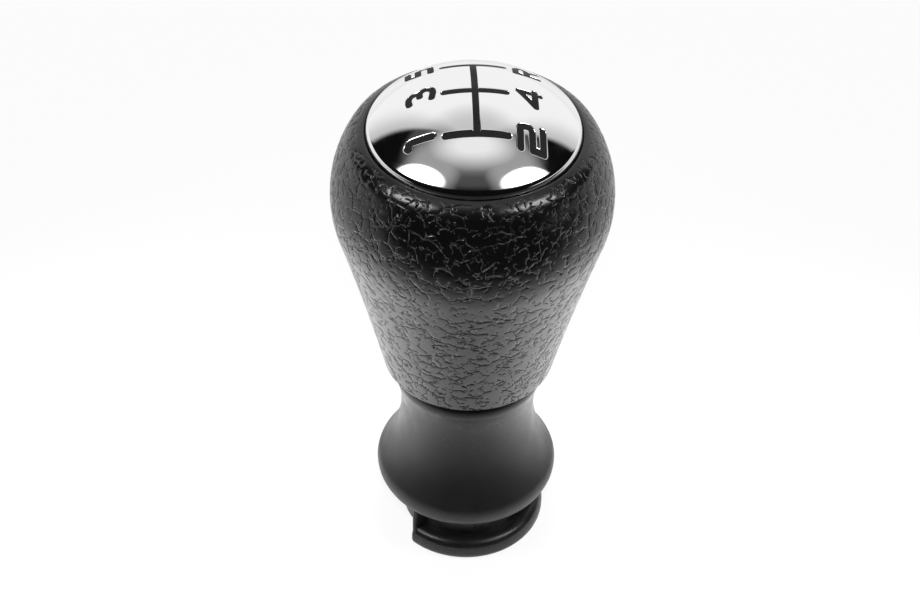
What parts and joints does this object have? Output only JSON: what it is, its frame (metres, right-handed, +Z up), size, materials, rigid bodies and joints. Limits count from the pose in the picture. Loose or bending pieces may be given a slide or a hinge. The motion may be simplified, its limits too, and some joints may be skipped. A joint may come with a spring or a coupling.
{
  "type": "gear shift knob",
  "caption": "Push-on gear shift knob: bright domed cap with a cut shift gate, grained soft grip, waisted collar with a gaiter groove, and a lever bush.",
  "frame": {"origin": "on the knob's axis, at the bottom of the foot lip that it stands on", "axes": "+Z up along the knob's axis to the cap, +Y to the front of the car (the side of first, third and fifth), +X to the car's right"},
  "size_m": [0.0488, 0.0488, 0.1008],
  "materials": {
    "plated_cap": "bright plated plastic, polished",
    "grained_grip": "soft moulded skin with a leather-like grain, satin",
    "core_plastic": "moulded, plain",
    "collar_plastic": "moulded, smooth satin",
    "bush_plastic": "moulded, plain"
  },
  "bodies": {
    "root": {"cap": "plated_cap", "grip": "grained_grip", "core": "core_plastic", "collar": "collar_plastic", "bush": "bush_plastic"}
  },
  "joints": []
}
